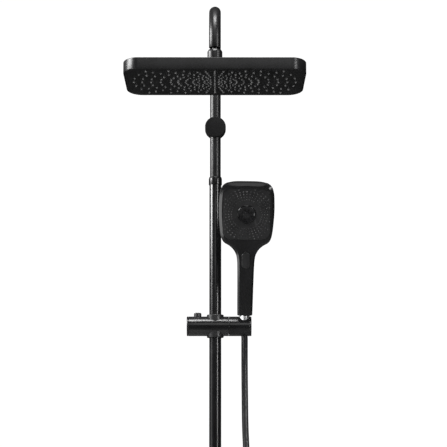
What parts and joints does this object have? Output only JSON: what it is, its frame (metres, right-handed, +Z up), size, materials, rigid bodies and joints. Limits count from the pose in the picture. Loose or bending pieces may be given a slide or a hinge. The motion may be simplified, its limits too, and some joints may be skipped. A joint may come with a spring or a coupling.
{
  "type": "rainfall shower column",
  "caption": "Wall-held shower column: wide rain head on a telescopic swivel arm, hand shower on a sliding tilting holder, hose and bar mixer.",
  "frame": {"origin": "centre of the upper wall bracket's face against the wall", "axes": "+Z up the riser, +Y into the wall, front of the shower towards -Y, hand shower on the +X side"},
  "size_m": [0.302, 0.5, 1.5579],
  "materials": {
    "matt_black": "satin black powder coat",
    "black_plastic": "fine-textured black moulding",
    "black_rubber": "matt",
    "hose_cover": "smooth dark grey vinyl",
    "chrome": "polished",
    "brass": "machined",
    "steel": "bright zinc",
    "white_nylon": "natural",
    "grey_silicone": "soft matt"
  },
  "bodies": {
    "column": {"wall_boss": "brass", "wall_boss_screw": "steel", "wall_bracket": "matt_black", "bracket_cap": "matt_black", "arm_grub_screw": "steel", "stem_grub_screw": "steel", "riser_tube": "matt_black", "telescope_collar": "matt_black", "collar_guide_ring": "white_nylon", "riser_washer": "black_rubber", "riser_olive": "brass", "riser_nut": "matt_black", "mixer_body": "matt_black", "thermostatic_cartridge": "brass", "diverter_cartridge": "brass", "wall_union_left": "brass", "wall_union_right": "brass", "wall_rosette_left": "matt_black", "wall_rosette_right": "matt_black", "inlet_filter_left": "steel", "inlet_filter_right": "steel", "inlet_washer_left": "black_rubber", "inlet_washer_right": "black_rubber", "union_nut_left": "matt_black", "union_nut_right": "matt_black", "lower_hose_nut": "matt_black", "lower_hose_washer": "black_rubber", "hose": "hose_cover"},
    "guide": {"arm_guide_bush": "white_nylon"},
    "arm": {"overhead_arm": "matt_black", "ball_stud": "matt_black", "filter_washer": "black_rubber"},
    "ball_seat": {"ball_seat_ring": "white_nylon"},
    "rain_head": {"swivel_nut": "matt_black", "ball_seal": "black_rubber", "head_shell": "matt_black", "head_face_plate": "matt_black", "nozzle_mat": "grey_silicone", "head_gasket": "black_rubber", "spray_chamber": "black_plastic"},
    "slider": {"slider_body": "matt_black", "slider_end_cap": "matt_black", "slider_bush": "black_plastic", "brake_spring": "steel", "button_spring": "steel", "pivot_screw": "steel"},
    "brake_button": {"brake_button": "black_plastic"},
    "brake_shoe": {"brake_shoe": "black_rubber"},
    "holder": {"handset_holder": "matt_black"},
    "handset": {"handset_body": "matt_black", "handset_face_plate": "black_plastic", "spray_disc": "black_plastic", "handset_waterway": "black_plastic", "handset_connector": "brass", "upper_hose_washer": "black_rubber", "cone_nut": "chrome"},
    "mode_button": {"mode_button": "black_plastic"},
    "temperature_handle": {"temperature_handle": "matt_black"},
    "stop_button": {"temperature_stop_button": "black_plastic"},
    "diverter_handle": {"diverter_handle": "matt_black"}
  },
  "joints": [
    {"name": "arm_slide", "type": "slide", "parent": "column", "child": "guide", "axis": [0, 0, 1], "range_m": [-0.03, 0.2]},
    {"name": "arm_swivel", "type": "hinge", "parent": "guide", "child": "arm", "pos_m": [0, -0.065, 0], "axis": [0, 0, 1], "range_deg": [-60, 60]},
    {"name": "head_tilt", "type": "hinge", "parent": "arm", "child": "ball_seat", "pos_m": [0, -0.405, 0.048], "axis": [1, 0, 0], "range_deg": [-10, 10]},
    {"name": "head_roll", "type": "hinge", "parent": "ball_seat", "child": "rain_head", "pos_m": [0, -0.405, 0.048], "axis": [0, 1, 0], "range_deg": [-10, 10]},
    {"name": "slider_slide", "type": "slide", "parent": "column", "child": "slider", "axis": [0, 0, 1], "range_m": [-0.3, 0.18], "deforming": ["hose"]},
    {"name": "brake_press", "type": "slide", "parent": "slider", "child": "brake_button", "axis": [0, 0, -1], "range_m": [0, 0.003], "stiffness_N_per_m": 600, "deforming": ["button_spring"]},
    {"name": "brake_release", "type": "slide", "parent": "slider", "child": "brake_shoe", "axis": [-1, 0, 0], "range_m": [0, 0.0015], "deforming": ["brake_spring"]},
    {"name": "holder_tilt", "type": "hinge", "parent": "slider", "child": "holder", "pos_m": [0, -0.065, -0.372], "axis": [1, 0, 0], "range_deg": [-15, 45]},
    {"name": "handset_lift", "type": "slide", "parent": "holder", "child": "handset", "axis": [0, -0.4226, 0.9063], "range_m": [0, 0.06]},
    {"name": "mode_press", "type": "slide", "parent": "handset", "child": "mode_button", "axis": [0, 0.9063, 0.4226], "range_m": [0, 0.0015], "stiffness_N_per_m": 800},
    {"name": "temperature_turn", "type": "hinge", "parent": "column", "child": "temperature_handle", "pos_m": [0.118, -0.065, -1.06], "axis": [1, 0, 0], "range_deg": [-100, 40]},
    {"name": "stop_press", "type": "slide", "parent": "temperature_handle", "child": "stop_button", "axis": [0, 1, 0], "range_m": [0, 0.0012], "stiffness_N_per_m": 800},
    {"name": "diverter_turn", "type": "hinge", "parent": "column", "child": "diverter_handle", "pos_m": [-0.118, -0.065, -1.06], "axis": [-1, 0, 0], "range_deg": [-90, 90]}
  ],
  "couplings": [
    {"joint": "brake_release", "follows": "brake_press", "ratio": 0.5}
  ]
}
